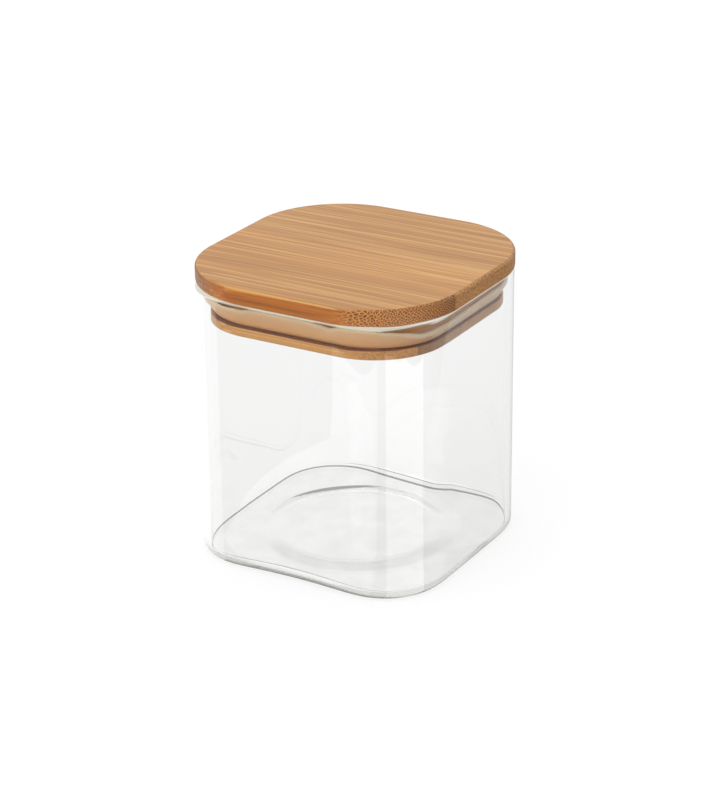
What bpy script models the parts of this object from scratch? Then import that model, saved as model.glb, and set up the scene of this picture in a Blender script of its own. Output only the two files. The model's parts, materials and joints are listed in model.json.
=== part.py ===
"""Square glass storage canister with a bamboo lid and a silicone seal.

Metres, +Z up. The origin is the middle of the base, on the surface that the jar stands on.
+X runs along the grain of the lid, and the -Y side shows that grain lengthwise.
The jar is one piece of glass. The lid is two glued boards, a plate and a plug, each laminated
from bamboo staves. The seal is a stretched ring in the groove between the plate and the flange
at the foot of the plug, with a skirt that flares up to the glass.
"""
import math

import bmesh
import bpy
from mathutils import Matrix, Vector

# Glass jar
JAR_SIDE = 0.0952
JAR_CORNER_RADIUS = 0.0246
JAR_HEIGHT = 0.1010
WALL_THICKNESS = 0.0024
FLOOR_THICKNESS = 0.0023
OUTER_FOOT_FILLET = 0.0022
INNER_FOOT_FILLET = 0.0008
# The glass fills the foot less in the middle of the front and the back, where the fillets swell
OUTER_FOOT_SLACK = 0.0030
INNER_FOOT_SLACK = 0.0026
FOOT_SLACK_REACH = 0.0450
FOOT_WIDTH = 0.0110
PUNT_SLOPE_WIDTH = 0.0080
PUNT_RISE = 0.0012

# Lid plate
PLATE_OVERHANG = 0.0024
PLATE_CORNER_RADIUS = 0.0335
PLATE_THICKNESS = 0.0062
PLATE_EDGE_RADIUS = 0.0011
PLATE_REST_GAP = 0.0003
PLATE_STAVE_WIDTH = 0.0227
PLATE_JOINT_Y = -0.0192

# Lid plug, with a flange at its foot
PLUG_CLEARANCE = 0.0012
PLUG_CORNER_EASE = 0.0026
PLUG_DEPTH = 0.0133
FLANGE_HEIGHT = 0.0033
FLANGE_EDGE_RADIUS = 0.0004
GROOVE_DEPTH = 0.0025
PLUG_STAVE_WIDTH = 0.0123
PLUG_JOINT_Y = -0.0182

# Glue between staves and between the two boards, and the narrowest stave that is laid
GLUE_LINE = 0.0002
NARROWEST_STAVE = 0.0030

# Silicone seal, whose levels are shares of the groove's height
SEAL_GAP = 0.0003
BAND_THICKNESS = 0.0010
SKIRT_ROOT_THICKNESS = 0.0009
LIP_THICKNESS = 0.0008
LIP_LAND_HEIGHT = 0.0012
SKIRT_ROOT_SHARE = 0.10
SKIRT_CROTCH_SHARE = 0.22
BAND_TOP_SHARE = 0.47
LIP_TOP_SHARE = 0.75

# Counts of facets
CORNER_STEPS = 10
SIDE_STEPS = 8
FILLET_STEPS = 5
RIM_STEPS = 6
PUNT_STEPS = 4
EDGE_STEPS = 3

# How far cutters run past what they cut
OVERRUN = 0.0050

SMOOTH_ANGLE = math.radians(35)

# Finishes
GLASS_COLOUR = (0.92, 0.96, 0.94, 1.0)
GLASS_ROUGHNESS = 0.02
GLASS_TRANSMISSION = 1.0
SILICONE_COLOUR = (0.86, 0.80, 0.70, 1.0)
SILICONE_ROUGHNESS = 0.4
SILICONE_TRANSMISSION = 0.3
BAMBOO_COLOURS = ((0.56, 0.30, 0.11, 1.0), (0.60, 0.33, 0.13, 1.0), (0.53, 0.27, 0.10, 1.0))
BAMBOO_ROUGHNESS = 0.45

mouth_side = JAR_SIDE - 2 * WALL_THICKNESS
mouth_corner_radius = JAR_CORNER_RADIUS - WALL_THICKNESS
punt_radius = JAR_SIDE / 2 - FOOT_WIDTH
plate_side = JAR_SIDE + 2 * PLATE_OVERHANG
plate_bottom = JAR_HEIGHT + PLATE_REST_GAP
plate_top = plate_bottom + PLATE_THICKNESS
plug_side = mouth_side - 2 * PLUG_CLEARANCE
plug_corner_radius = mouth_corner_radius + PLUG_CORNER_EASE
plug_top = plate_bottom - GLUE_LINE
plug_bottom = plate_bottom - PLUG_DEPTH
flange_top = plug_bottom + FLANGE_HEIGHT
groove_height = plate_bottom - flange_top
neck_side = plug_side - 2 * GROOVE_DEPTH
neck_corner_radius = plug_corner_radius - GROOVE_DEPTH


def clear_scene():
    """Removes every object and collection of the scene."""
    for scene_object in list(bpy.data.objects):
        bpy.data.objects.remove(scene_object, do_unlink=True)
    for collection in list(bpy.data.collections):
        bpy.data.collections.remove(collection)


def add_collection(name):
    """Makes a collection in the scene."""
    collection = bpy.data.collections.new(name)
    bpy.context.scene.collection.children.link(collection)
    return collection


def plain_material(name, colour, roughness, transmission=0.0):
    """Makes a Principled BSDF material of one colour."""
    material = bpy.data.materials.new(name)
    material.use_nodes = True
    shader = material.node_tree.nodes["Principled BSDF"]
    shader.inputs["Base Color"].default_value = colour
    shader.inputs["Roughness"].default_value = roughness
    shader.inputs["Metallic"].default_value = 0.0
    shader.inputs["Transmission Weight"].default_value = transmission
    material.diffuse_color = colour
    return material


def add_object(name, mesh, collection, material=None):
    """Puts a mesh in the collection as a named object."""
    if material and not mesh.materials:
        mesh.materials.append(material)
    new_object = bpy.data.objects.new(name, mesh)
    collection.objects.link(new_object)
    return new_object


def add_cutter(name, mesh, collection):
    """Puts a mesh in the cutters' collection, out of sight of a render."""
    cutter = add_object(name, mesh, collection)
    cutter.hide_render = True
    cutter.display_type = "WIRE"
    return cutter


def mesh_from(bm, name):
    """Turns a bmesh into a smoothly shaded mesh and frees it."""
    bmesh.ops.recalc_face_normals(bm, faces=bm.faces)
    mesh = bpy.data.meshes.new(name)
    bm.to_mesh(mesh)
    bm.free()
    mesh.shade_smooth()
    mesh.set_sharp_from_angle(angle=SMOOTH_ANGLE)
    return mesh


def stations(side, corner_radius):
    """Places and outward normals around a square with round corners."""
    reach = side / 2 - corner_radius
    found = []
    for quarter in range(4):
        turn = Matrix.Rotation(quarter * math.pi / 2, 3, "Z")
        corner = Vector((reach, reach, 0))
        for step in range(CORNER_STEPS + 1):
            angle = step / CORNER_STEPS * math.pi / 2
            normal = Vector((math.cos(angle), math.sin(angle), 0))
            found.append((turn @ (corner + corner_radius * normal), turn @ normal))
        for step in range(1, SIDE_STEPS):
            place = Vector((reach * (1 - 2 * step / SIDE_STEPS), side / 2, 0))
            found.append((turn @ place, turn @ Vector((0, 1, 0))))
    return found


def level_ring(base, inset, height):
    """Ring moved inward along its normals by one inset and lifted to one height."""
    return [place - normal * inset + Vector((0, 0, height)) for place, normal in base]


def circle_ring(base, radius, height):
    """Round ring whose points lie in the directions of the base's places."""
    return [place.normalized() * radius + Vector((0, 0, height)) for place, normal in base]


def loft(name, rings, closed):
    """Skin over rings of equally many points, closed to a tube or capped at both ends."""
    bm = bmesh.new()
    loops = [[bm.verts.new(point) for point in ring] for ring in rings]
    count = len(loops[0])
    pairs = list(zip(loops, loops[1:]))
    if closed:
        pairs.append((loops[-1], loops[0]))
    else:
        bm.faces.new(loops[0])
        bm.faces.new(loops[-1])
    for first, second in pairs:
        for index in range(count):
            after = (index + 1) % count
            bm.faces.new((first[index], first[after], second[after], second[index]))
    return mesh_from(bm, name)


def rounded_block(name, side, corner_radius, low, high, edge_radius):
    """Upright block with round corners and, above zero edge radius, rounded top and bottom edges."""
    bm = bmesh.new()
    size = Matrix.Diagonal((side, side, high - low, 1))
    bmesh.ops.create_cube(bm, size=1, matrix=Matrix.Translation((0, 0, (low + high) / 2)) @ size)
    upright = [edge for edge in bm.edges if is_upright(edge)]
    bmesh.ops.bevel(bm, geom=upright, offset=corner_radius, offset_type="OFFSET", affect="EDGES",
                    segments=CORNER_STEPS, profile=0.5)
    if edge_radius > 0:
        rims = [edge for edge in bm.edges if not is_upright(edge)]
        bmesh.ops.bevel(bm, geom=rims, offset=edge_radius, offset_type="OFFSET", affect="EDGES",
                        segments=EDGE_STEPS, profile=0.5)
    return mesh_from(bm, name)


def is_upright(edge):
    """Says whether an edge runs straight up."""
    run = edge.verts[1].co - edge.verts[0].co
    return abs(run.z) > abs(run.x) + abs(run.y)


def slab(name, y_low, y_high, z_low, z_high):
    """Cutting box across the whole lid between two planes square to Y."""
    bm = bmesh.new()
    length = plate_side + 2 * OVERRUN
    size = Matrix.Diagonal((length, y_high - y_low, z_high - z_low, 1))
    middle = Matrix.Translation((0, (y_low + y_high) / 2, (z_low + z_high) / 2))
    bmesh.ops.create_cube(bm, size=1, matrix=middle @ size)
    return mesh_from(bm, name)


def add_boolean(target, operation, cutter):
    """Adds a live Boolean modifier."""
    modifier = target.modifiers.new(operation.lower(), "BOOLEAN")
    modifier.operation = operation
    modifier.solver = "EXACT"
    modifier.object = cutter


def glue_planes(half_width, joint_y, pitch):
    """Planes a pitch apart through joint_y, none closer to an edge than the narrowest stave."""
    limit = half_width - NARROWEST_STAVE
    first = math.ceil((-limit - joint_y) / pitch)
    last = math.floor((limit - joint_y) / pitch)
    return [joint_y + index * pitch for index in range(first, last + 1)]


def add_staves(name, planes, low, high, block, additions, parts, cutters):
    """Cuts a board's block into staves, numbered from the front, with a glue line at each plane."""
    edge = plate_side / 2 + OVERRUN
    starts = [-edge] + [plane + GLUE_LINE / 2 for plane in planes]
    ends = [plane - GLUE_LINE / 2 for plane in planes] + [edge]
    for index, (start, end) in enumerate(zip(starts, ends)):
        stave_name = f"{name}_stave_{index + 1}"
        box = slab(stave_name, start, end, low - OVERRUN, high + OVERRUN)
        cut = add_cutter(f"{stave_name}_slab", box, cutters)
        colour = BAMBOO_COLOURS[index % len(BAMBOO_COLOURS)]
        bamboo = plain_material(stave_name, colour, BAMBOO_ROUGHNESS)
        stave = add_object(stave_name, block.copy(), parts, bamboo)
        for addition in additions:
            add_boolean(stave, "UNION", addition)
        add_boolean(stave, "INTERSECT", cut)


def swell(place):
    """How much the foot fillets swell here, from 0 to 1 in the middle of the front and back."""
    if abs(place.x) >= FOOT_SLACK_REACH:
        return 0.0
    return math.cos(place.x / FOOT_SLACK_REACH * math.pi / 2) ** 2


def fillet_rings(base, inset, height, fillet, slack):
    """Rings down a fillet, from the wall at that inset to the flat at that height."""
    rings = []
    for step in range(FILLET_STEPS + 1):
        angle = step / FILLET_STEPS * math.pi / 2
        ring = []
        for place, normal in base:
            radius = fillet + slack * swell(place)
            inward = inset + radius * (1 - math.cos(angle))
            ring.append(place - normal * inward + Vector((0, 0, height + radius * (1 - math.sin(angle)))))
        rings.append(ring)
    return rings


def punt_rings(base, level):
    """Rings from the foot's flat in to the crown of the punt, on a surface at that level."""
    rings = []
    for step in range(PUNT_STEPS + 1):
        share = step / PUNT_STEPS
        rise = PUNT_RISE * (1 - math.cos(share * math.pi)) / 2
        rings.append(circle_ring(base, punt_radius - PUNT_SLOPE_WIDTH * share, level + rise))
    return rings


def rim_rings(base):
    """Rings over the fire-polished rim, from the outer wall to the inner one."""
    radius = WALL_THICKNESS / 2
    rings = []
    for step in range(RIM_STEPS + 1):
        angle = step / RIM_STEPS * math.pi
        height = JAR_HEIGHT - radius + radius * math.sin(angle)
        rings.append(level_ring(base, radius * (1 - math.cos(angle)), height))
    return rings


def jar_rings():
    """Rings of the jar's skin: out along the underside, up, over the rim and down to the floor."""
    base = stations(JAR_SIDE, JAR_CORNER_RADIUS)
    underside = fillet_rings(base, 0, 0, OUTER_FOOT_FILLET, OUTER_FOOT_SLACK) + punt_rings(base, 0)
    inside = fillet_rings(base, WALL_THICKNESS, FLOOR_THICKNESS, INNER_FOOT_FILLET, INNER_FOOT_SLACK)
    return underside[::-1] + rim_rings(base) + inside + punt_rings(base, FLOOR_THICKNESS)


def seal_rings():
    """Rings around the seal's section: down the band, out along the skirt, over its lip and back."""
    neck = stations(neck_side, neck_corner_radius)
    mouth = stations(mouth_side, mouth_corner_radius)
    band_bottom = flange_top + SEAL_GAP
    band_top = flange_top + BAND_TOP_SHARE * groove_height
    root = flange_top + SKIRT_ROOT_SHARE * groove_height
    crotch = flange_top + SKIRT_CROTCH_SHARE * groove_height
    lip_top = flange_top + LIP_TOP_SHARE * groove_height
    lip_radius = LIP_THICKNESS / 2
    band_inside = -SEAL_GAP
    band_outside = band_inside - BAND_THICKNESS
    return [
        level_ring(neck, band_inside, band_top),
        level_ring(neck, band_inside, band_bottom),
        level_ring(neck, band_outside, band_bottom),
        level_ring(neck, band_outside, root),
        level_ring(neck, band_outside - SKIRT_ROOT_THICKNESS, root),
        level_ring(mouth, SEAL_GAP, lip_top - lip_radius - LIP_LAND_HEIGHT),
        level_ring(mouth, SEAL_GAP, lip_top - lip_radius),
        level_ring(mouth, SEAL_GAP + lip_radius, lip_top),
        level_ring(mouth, SEAL_GAP + LIP_THICKNESS, lip_top - lip_radius),
        level_ring(neck, band_outside, crotch),
        level_ring(neck, band_outside, band_top),
    ]


def add_plate(parts, cutters):
    """Lid plate, which overhangs the rim all round."""
    block = rounded_block("plate", plate_side, PLATE_CORNER_RADIUS, plate_bottom, plate_top,
                          PLATE_EDGE_RADIUS)
    planes = glue_planes(plate_side / 2, PLATE_JOINT_Y, PLATE_STAVE_WIDTH)
    add_staves("plate", planes, plate_bottom, plate_top, block, [], parts, cutters)


def add_plug(parts, cutters):
    """Plug under the plate: a neck, which is the floor of the seal's groove, and a flange."""
    neck_bottom = plug_bottom + FLANGE_HEIGHT / 2
    neck = rounded_block("neck", neck_side, neck_corner_radius, neck_bottom, plug_top, 0)
    flange = rounded_block("flange", plug_side, plug_corner_radius, plug_bottom, flange_top,
                           FLANGE_EDGE_RADIUS)
    flange_block = add_cutter("flange_block", flange, cutters)
    planes = glue_planes(neck_side / 2, PLUG_JOINT_Y, PLUG_STAVE_WIDTH)
    add_staves("plug", planes, plug_bottom, plug_top, neck, [flange_block], parts, cutters)


def build():
    """Models the canister."""
    clear_scene()
    parts = add_collection("storage_canister")
    cutters = add_collection("cutters")
    glass = plain_material("glass", GLASS_COLOUR, GLASS_ROUGHNESS, GLASS_TRANSMISSION)
    add_object("glass_body", loft("glass_body", jar_rings(), closed=False), parts, glass)
    silicone = plain_material("silicone", SILICONE_COLOUR, SILICONE_ROUGHNESS, SILICONE_TRANSMISSION)
    add_object("silicone_seal", loft("silicone_seal", seal_rings(), closed=True), parts, silicone)
    add_plate(parts, cutters)
    add_plug(parts, cutters)


build()
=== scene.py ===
"""Looks of a square glass storage canister with a laminated bamboo lid and a silicone seal.

Metres, +Z up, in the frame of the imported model: the origin is the middle of the base, +X runs
along the grain of the lid, and the -Y side shows that grain lengthwise. The jar, the seal and
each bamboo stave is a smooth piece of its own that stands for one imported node.

Materials work in millimetres. SCALES are noise cells in a millimetre along X, Y and Z, a TURN is
a range of one part of the surface's normal, and a SPAN is a range of noise.
"""

import json
import math

import bmesh
import bpy
from mathutils import Matrix, Vector

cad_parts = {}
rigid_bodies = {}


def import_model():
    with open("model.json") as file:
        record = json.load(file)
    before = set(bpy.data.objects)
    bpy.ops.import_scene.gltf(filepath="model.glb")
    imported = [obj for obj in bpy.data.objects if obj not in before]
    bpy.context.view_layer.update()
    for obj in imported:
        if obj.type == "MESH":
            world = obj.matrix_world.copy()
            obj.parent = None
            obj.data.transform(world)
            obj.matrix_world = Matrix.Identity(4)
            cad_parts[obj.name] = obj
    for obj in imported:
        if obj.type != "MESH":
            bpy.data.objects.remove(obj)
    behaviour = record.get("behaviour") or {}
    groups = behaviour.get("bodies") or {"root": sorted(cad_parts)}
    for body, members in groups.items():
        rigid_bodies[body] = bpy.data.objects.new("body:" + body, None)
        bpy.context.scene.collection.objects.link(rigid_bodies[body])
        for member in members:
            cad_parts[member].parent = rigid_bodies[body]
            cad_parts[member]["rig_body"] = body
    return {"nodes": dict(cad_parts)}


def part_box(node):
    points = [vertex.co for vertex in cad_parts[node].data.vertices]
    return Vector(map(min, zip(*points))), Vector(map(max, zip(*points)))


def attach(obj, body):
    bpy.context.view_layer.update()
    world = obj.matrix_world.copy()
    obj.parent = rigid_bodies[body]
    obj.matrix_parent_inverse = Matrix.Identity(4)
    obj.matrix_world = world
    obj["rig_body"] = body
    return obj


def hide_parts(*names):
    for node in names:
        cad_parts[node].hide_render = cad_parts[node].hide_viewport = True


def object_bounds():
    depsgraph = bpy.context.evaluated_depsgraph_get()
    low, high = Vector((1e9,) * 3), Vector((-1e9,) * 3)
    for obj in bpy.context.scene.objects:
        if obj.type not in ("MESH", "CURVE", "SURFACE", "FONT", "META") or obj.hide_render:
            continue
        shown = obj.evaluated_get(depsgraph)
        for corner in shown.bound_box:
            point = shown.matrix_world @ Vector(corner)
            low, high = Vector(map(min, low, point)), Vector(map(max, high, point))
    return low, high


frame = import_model()
cad_low, cad_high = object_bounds()

MM = 0.001

# Camera, as solved from the photograph's perspective
CAMERA_AZIMUTH = math.radians(30.636)
CAMERA_ELEVATION = math.radians(22.890)
CAMERA_ROLL = math.radians(0.635)
CAMERA_DISTANCE = 0.9143
CAMERA_LENS_MM = 115.0
CAMERA_RIGHT_SHIFT = -0.00087
CAMERA_UP_SHIFT = -0.00167

# Sizes of the jar that its box doesn't give
WALL_THICKNESS = 0.0024
FLOOR_THICKNESS = 0.0023
JAR_CORNER_RADIUS = 0.0246
JAR_CORNER_EASE = 0.0150
OUTER_FOOT_FILLET = 0.0022
INNER_FOOT_FILLET = 0.0008
OUTER_FOOT_SLACK = 0.0030
INNER_FOOT_SLACK = 0.0026
FOOT_SLACK_REACH = 0.0450
FOOT_WIDTH = 0.0110
PUNT_SLOPE_WIDTH = 0.0080
PUNT_RISE = 0.0012
PUNT_DOME_RISE = 0.0002

# Sizes of the lid that its boxes don't give
PLATE_CORNER_RADIUS = 0.0335
PLATE_EDGE_RADIUS = 0.0011
PLUG_CORNER_RADIUS = 0.0248
FLANGE_HEIGHT = 0.0033
FLANGE_EDGE_RADIUS = 0.0004
GROOVE_DEPTH = 0.0025
GLUE_SEAM = 0.00003
CUT_TOLERANCE = 1e-7

# Seal, whose lip rises and falls around the jar
SEAL_GAP = 0.0003
BAND_THICKNESS = 0.0010
BAND_HEIGHT = 0.0044
LIP_THICKNESS = 0.0008
LIP_LAND_HEIGHT = 0.0012
SKIRT_ROOT_RISE = 0.0009
SKIRT_END_DROP = 0.0005
SKIRT_ROOT_STEP = 0.0003
SKIRT_BULGE_RISE = 0.0020
SKIRT_CROTCH_RISE = 0.0026

# Facets of the fine meshes
CORNER_STEPS = 36
SIDE_STEPS = 24
FILLET_STEPS = 12
RIM_STEPS = 12
PUNT_STEPS = 16
DOME_STEPS = 8
WALL_STEPS = 12
EDGE_STEPS = 8
SMOOTH_ANGLE = math.radians(40)


# Meshes and objects

def level_direction(angle):
    """Level unit vector at that angle from +X."""
    return Vector((math.cos(angle), math.sin(angle), 0))


def around(corner, side, reach):
    """One corner's places and normals turned to all four, with straight sides of that reach between."""
    found = []
    for quarter in range(4):
        turn = Matrix.Rotation(quarter * math.pi / 2, 3, "Z")
        found += [(turn @ place, turn @ normal) for place, normal in corner]
        for step in range(1, SIDE_STEPS):
            place = Vector((reach * (1 - 2 * step / SIDE_STEPS), side / 2, 0))
            found.append((turn @ place, turn @ Vector((0, 1, 0))))
    return found


def stations(side, corner_radius):
    """Places and outward normals around a square with round corners."""
    reach = side / 2 - corner_radius
    centre = Vector((reach, reach, 0))
    corner = []
    for step in range(CORNER_STEPS + 1):
        normal = level_direction(step / CORNER_STEPS * math.pi / 2)
        corner.append((centre + corner_radius * normal, normal))
    return around(corner, side, reach)


def eased_stations(side, corner_radius, ease_length):
    """Places and normals like the stations', with a curve that begins and ends gently at each corner.

    A transition curve shifts the arc that it leads to by length ** 2 / 24 / radius. The arc is
    tightened so that it passes where the plain round corner does.
    """
    shift = ease_length ** 2 / 24 / corner_radius
    tight = corner_radius - shift * math.sqrt(2) / (math.sqrt(2) - 1)
    length = tight * math.pi / 2 + ease_length
    turned = []
    for step in range(CORNER_STEPS + 1):
        along = length * step / CORNER_STEPS
        first = min(along, ease_length) ** 2 / 2 / ease_length + max(along - ease_length, 0.0)
        last = max(along - length + ease_length, 0.0) ** 2 / 2 / ease_length
        turned.append((first - last) / tight)
    path = [Vector((0, 0, 0))]
    for first, last in zip(turned, turned[1:]):
        middle = (first + last) / 2
        path.append(path[-1] + Vector((-math.sin(middle), math.cos(middle), 0)) * length / CORNER_STEPS)
    start = Vector((side / 2, side / 2 - path[-1].y, 0))
    corner = [(start + place, level_direction(angle)) for place, angle in zip(path, turned)]
    return around(corner, side, side / 2 + path[-1].x)


def level_ring(base, inset, height):
    """Ring moved inward along its normals by one inset and lifted to one height."""
    return [place - normal * inset + Vector((0, 0, height)) for place, normal in base]


def circle_ring(base, radius, height):
    """Round ring whose points lie in the directions of the base's places."""
    return [place.normalized() * radius + Vector((0, 0, height)) for place, normal in base]


def loft(rings, closed):
    """Skin over rings of equally many points, closed to a tube or capped at both ends."""
    bm = bmesh.new()
    loops = [[bm.verts.new(point) for point in ring] for ring in rings]
    count = len(loops[0])
    pairs = list(zip(loops, loops[1:]))
    if closed:
        pairs.append((loops[-1], loops[0]))
    else:
        bm.faces.new(loops[0])
        bm.faces.new(loops[-1])
    for first, second in pairs:
        for index in range(count):
            after = (index + 1) % count
            bm.faces.new((first[index], first[after], second[after], second[index]))
    bmesh.ops.recalc_face_normals(bm, faces=bm.faces)
    return bm


def mesh_from(bm, name, material):
    """Mesh of one material from a bmesh, which is freed."""
    mesh = bpy.data.meshes.new(name)
    bm.to_mesh(mesh)
    bm.free()
    mesh.materials.append(material)
    return mesh


def add_object(name, data):
    """New object in the scene."""
    made = bpy.data.objects.new(name, data)
    bpy.context.scene.collection.objects.link(made)
    return made


def add_piece(bm, node, material):
    """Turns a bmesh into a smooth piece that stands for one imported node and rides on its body."""
    name = f"{node}_surface"
    mesh = mesh_from(bm, name, material)
    mesh.shade_smooth()
    mesh.set_sharp_from_angle(angle=SMOOTH_ANGLE)
    piece = add_object(name, mesh)
    weights = piece.modifiers.new("flat_faces_stay_flat", "WEIGHTED_NORMAL")
    weights.keep_sharp = True
    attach(piece, frame["nodes"][node]["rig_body"])
    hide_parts(node)


# Nodes of materials

def put(tree, socket, value):
    """Links a socket to another one, or sets its value."""
    if isinstance(value, bpy.types.NodeSocket):
        tree.links.new(value, socket)
    else:
        socket.default_value = value


def calc(tree, operation, *values, clamp=False):
    """Math node on sockets or numbers."""
    node = tree.nodes.new("ShaderNodeMath")
    node.operation = operation
    node.use_clamp = clamp
    for socket, value in zip(node.inputs, values):
        put(tree, socket, value)
    return node.outputs[0]


def calc_vector(tree, operation, vector, parts):
    """Vector math node on a vector and one number for each axis."""
    node = tree.nodes.new("ShaderNodeVectorMath")
    node.operation = operation
    put(tree, node.inputs[0], vector)
    put(tree, node.inputs[1], parts)
    return node.outputs[0]


def ease(tree, value, reach, first=0.0, last=1.0):
    """Smooth change from first to last as the value goes from the low to the high end of its reach."""
    node = tree.nodes.new("ShaderNodeMapRange")
    node.interpolation_type = "SMOOTHSTEP"
    for socket, given in zip(node.inputs, (value, *reach, first, last)):
        put(tree, socket, given)
    return node.outputs[0]


def combine(tree, x, y, z):
    """Vector of three sockets or numbers."""
    node = tree.nodes.new("ShaderNodeCombineXYZ")
    for socket, value in zip(node.inputs, (x, y, z)):
        put(tree, socket, value)
    return node.outputs[0]


def split(tree, vector):
    """The three parts of a vector."""
    node = tree.nodes.new("ShaderNodeSeparateXYZ")
    put(tree, node.inputs[0], vector)
    return node.outputs


def place_in_mm(tree):
    """Place on the piece at rest, in millimetres."""
    place = tree.nodes.new("ShaderNodeTexCoord").outputs["Object"]
    return calc_vector(tree, "MULTIPLY", place, (1 / MM,) * 3)


def normal_parts(tree):
    """The three parts of the surface's normal at rest."""
    return split(tree, tree.nodes.new("ShaderNodeTexCoord").outputs["Normal"])


def noise(tree, place, scales, detail, roughness=0.5):
    """Noise from 0 to 1 with its own number of cells in a millimetre along each axis."""
    node = tree.nodes.new("ShaderNodeTexNoise")
    put(tree, node.inputs["Vector"], calc_vector(tree, "MULTIPLY", place, scales))
    node.inputs["Scale"].default_value = 1.0
    node.inputs["Detail"].default_value = detail
    node.inputs["Roughness"].default_value = roughness
    return node.outputs["Fac"]


def mix_colour(tree, factor, first, second, blend="MIX"):
    """Colour between two, or the first one changed by the second."""
    node = tree.nodes.new("ShaderNodeMix")
    node.data_type = "RGBA"
    node.blend_type = blend
    put(tree, node.inputs[0], factor)
    put(tree, node.inputs[6], first)
    put(tree, node.inputs[7], second)
    return node.outputs[2]


def ramp(tree, value, stops):
    """Grey or colour that follows the value through listed stops."""
    node = tree.nodes.new("ShaderNodeValToRGB")
    put(tree, node.inputs[0], value)
    elements = node.color_ramp.elements
    elements[0].position, elements[0].color = stops[0]
    elements[1].position, elements[1].color = stops[-1]
    for position, colour in stops[1:-1]:
        elements.new(position).color = colour
    return node.outputs[0]


def bump(tree, height, depth, strength=1.0):
    """Normal from a height of 0 to 1, whose full depth is given in metres."""
    node = tree.nodes.new("ShaderNodeBump")
    node.inputs["Strength"].default_value = strength
    node.inputs["Distance"].default_value = depth
    put(tree, node.inputs["Height"], height)
    return node.outputs[0]


def glow(tree, colour, strength=1.0):
    """Shader that only gives off light."""
    node = tree.nodes.new("ShaderNodeEmission")
    node.inputs["Color"].default_value = colour
    node.inputs["Strength"].default_value = strength
    return node.outputs[0]


def mix_shaders(tree, factor, first, second):
    """Shader between two."""
    node = tree.nodes.new("ShaderNodeMixShader")
    put(tree, node.inputs[0], factor)
    put(tree, node.inputs[1], first)
    put(tree, node.inputs[2], second)
    return node.outputs[0]


def show(tree, surface):
    """Makes a shader the surface of its material."""
    tree.links.new(surface, tree.nodes["Material Output"].inputs["Surface"])


def new_material(name):
    """Material with its node tree and its Principled shader."""
    material = bpy.data.materials.new(name)
    material.use_nodes = True
    tree = material.node_tree
    return material, tree, tree.nodes["Principled BSDF"]


# Glass

GLASS_COLOUR = (0.997, 0.999, 0.995, 1.0)
GLASS_IOR = 1.48
GLASS_WAVE_SCALES = (0.05, 0.05, 0.018)
GLASS_WAVE_DEPTH = 0.00002

# Walls, floor and the grey patches in the floor
WALL_COLOUR = (0.948, 0.951, 0.946, 1.0)
WALL_PALER_SHARE = 1.012
WALL_TINT_SCALES = (0.03, 0.03, 0.03)
FLOOR_TURN = (0.5, 0.9)
FLOOR_PATCH_COLOUR = (0.950, 0.953, 0.948, 1.0)
FLOOR_PATCH_SCALES = (0.10, 0.10, 0.10)
FLOOR_PATCH_SPAN = (0.42, 0.60)

# Painted shade: a dark edge of the foot, between the wall and the flat that it stands on
PAINTED_FOOT_SHADE = (0.30, 0.31, 0.28, 1.0)
FOOT_EDGE_TURN = (0.15, 0.60)
FOOT_FLAT_TURN = (0.90, 0.96)

# Painted shade: a dark line, standing in for dark refraction, where the inside turns up from the floor,
# from its start to its end above the floor
PAINTED_BASE_SHADE = (0.12, 0.12, 0.11, 1.0)
BASE_LINE_START = (0.01, 0.05)
BASE_LINE_END = (0.294, 0.42)
BASE_LINE_LEAST_TURN = 0.1
BASE_LINE_PUNT_GAP = 1

# Painted glow that stands in for light that turns back inside the glass too often to follow
PAINTED_GUIDED_GLOW = (0.70, 0.71, 0.68, 1.0)
FOLLOWED_TURNS = 8.5

# Painted glow that stands in for light that leaves the glass in a line of some depth at its rim
PAINTED_RIM_GLOW = (0.74, 0.71, 0.58, 1.0)
PAINTED_RIM_GLOW_SHARE = 0.75
RIM_DEPTH = 1.0
RIM_CORNER_TURN = (0.50, 0.80)
RIM_END_DEPTH = 1.5
RIM_END_TURN = (0.86, 1.0)
RIM_BLUR = (-0.20, 0.20)

# Painted shade: a dark arc in the punt's slope that stands in for dark refraction, strongest towards the
# back left
PAINTED_PUNT_SHADE = (0.27, 0.27, 0.26, 1.0)
PUNT_ARC_TOWARDS = (-0.72, 0.69)
PUNT_ARC_REACH_SHARES = (0.80, 0.87)
PUNT_ARC_LEAST_SHARE = 0.15
PUNT_ARC_FACING = (0.64, 0.69)
PUNT_ARC_SHARE = 0.9
PUNT_SLOPE_TURN = (0.93, 0.97)
PUNT_LEVEL_TURN = (0.991, 0.998)


def glass_colour(tree, place, normal):
    """Colour of the glass: a little grey in its walls and in patches in its floor, with painted shade at
    the edge of its foot.
    """
    tint = noise(tree, place, WALL_TINT_SCALES, detail=1.0)
    paler = tuple(min(1.0, part * WALL_PALER_SHARE) for part in WALL_COLOUR)
    wall = mix_colour(tree, tint, WALL_COLOUR, paler)
    floor_patches = noise(tree, place, FLOOR_PATCH_SCALES, detail=5.0, roughness=0.6)
    floor = mix_colour(tree, ease(tree, floor_patches, FLOOR_PATCH_SPAN), GLASS_COLOUR, FLOOR_PATCH_COLOUR)
    level = ease(tree, calc(tree, "ABSOLUTE", normal[2]), FLOOR_TURN)
    # Painted shade at the edge of the foot
    down = calc(tree, "MULTIPLY", normal[2], -1.0)
    painted_foot_shade = calc(tree, "SUBTRACT", ease(tree, down, FOOT_EDGE_TURN),
                        ease(tree, down, FOOT_FLAT_TURN), clamp=True)
    return mix_colour(tree, painted_foot_shade, mix_colour(tree, level, wall, floor), PAINTED_FOOT_SHADE)


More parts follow.
